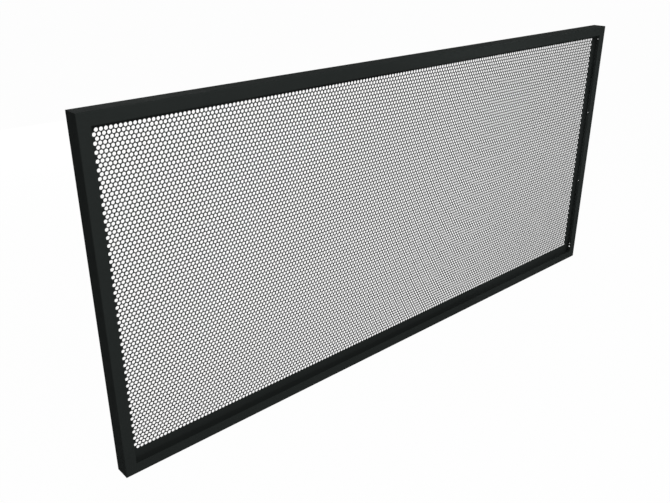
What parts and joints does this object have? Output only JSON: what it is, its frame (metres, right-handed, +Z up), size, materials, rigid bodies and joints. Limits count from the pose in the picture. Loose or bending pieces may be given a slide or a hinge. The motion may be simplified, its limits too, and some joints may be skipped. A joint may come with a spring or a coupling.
{
  "type": "perforated balustrade panel",
  "caption": "Framed balustrade panel: a finely perforated metal sheet set back in a mitred frame of folded angles, screwed between two posts.",
  "frame": {"origin": "centre of the left stile's outer face, which bears on the left post", "axes": "+X along the panel to the right post, +Y from the front to the back, +Z up"},
  "size_m": [2.162, 0.05, 0.982],
  "materials": {
    "frame_coat": "matt powder coat with a fine orange peel, near black",
    "sheet_coat": "matt powder coat with a fine orange peel, near black"
  },
  "bodies": {
    "root": {"top_rail": "frame_coat", "bottom_rail": "frame_coat", "left_stile": "frame_coat", "right_stile": "frame_coat", "perforated_sheet": "sheet_coat"}
  },
  "joints": []
}
